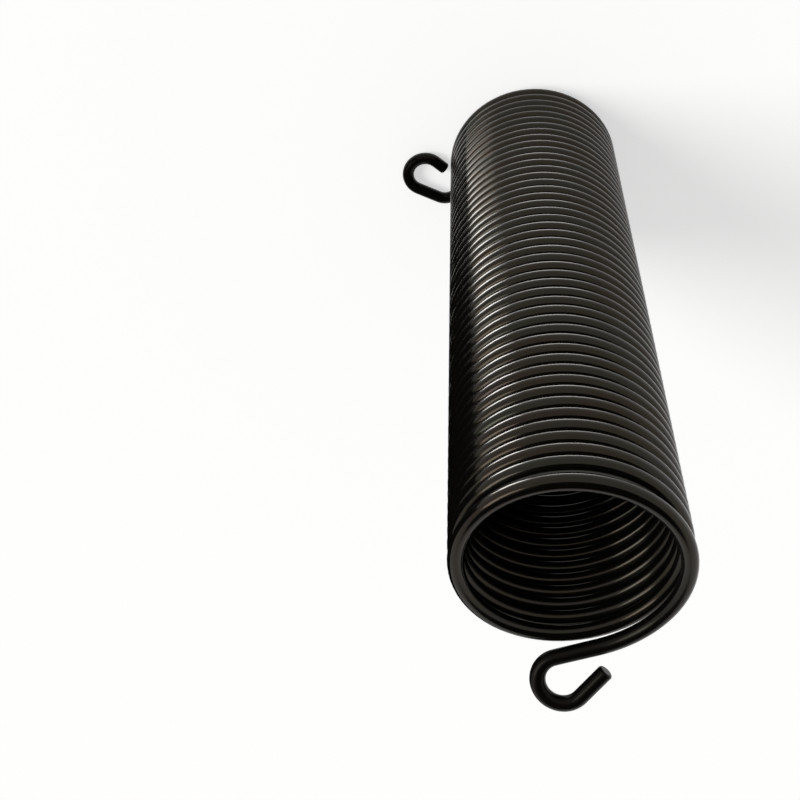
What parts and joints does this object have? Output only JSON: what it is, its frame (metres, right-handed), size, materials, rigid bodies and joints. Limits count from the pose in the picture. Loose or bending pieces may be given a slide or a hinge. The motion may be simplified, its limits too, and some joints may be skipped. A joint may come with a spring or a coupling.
{
  "type": "roller shutter spring",
  "caption": "Close-wound helical torsion spring of dark steel wire with a formed hook at each end, fitted on a roller shutter's shaft to balance the curtain.",
  "frame": {"origin": "on the coil's axis, level with the lowest point of the rear hook, at the end that the spring stands on", "axes": "+Z along the coil's axis from the rear end to the front end, +X to the right and +Y to the upper side of the coil as the picture shows them"},
  "size_m": [0.1013, 0.0972, 0.2794],
  "materials": {
    "spring_steel": "satin"
  },
  "bodies": {
    "root": {"torsion_spring": "spring_steel"}
  },
  "joints": []
}
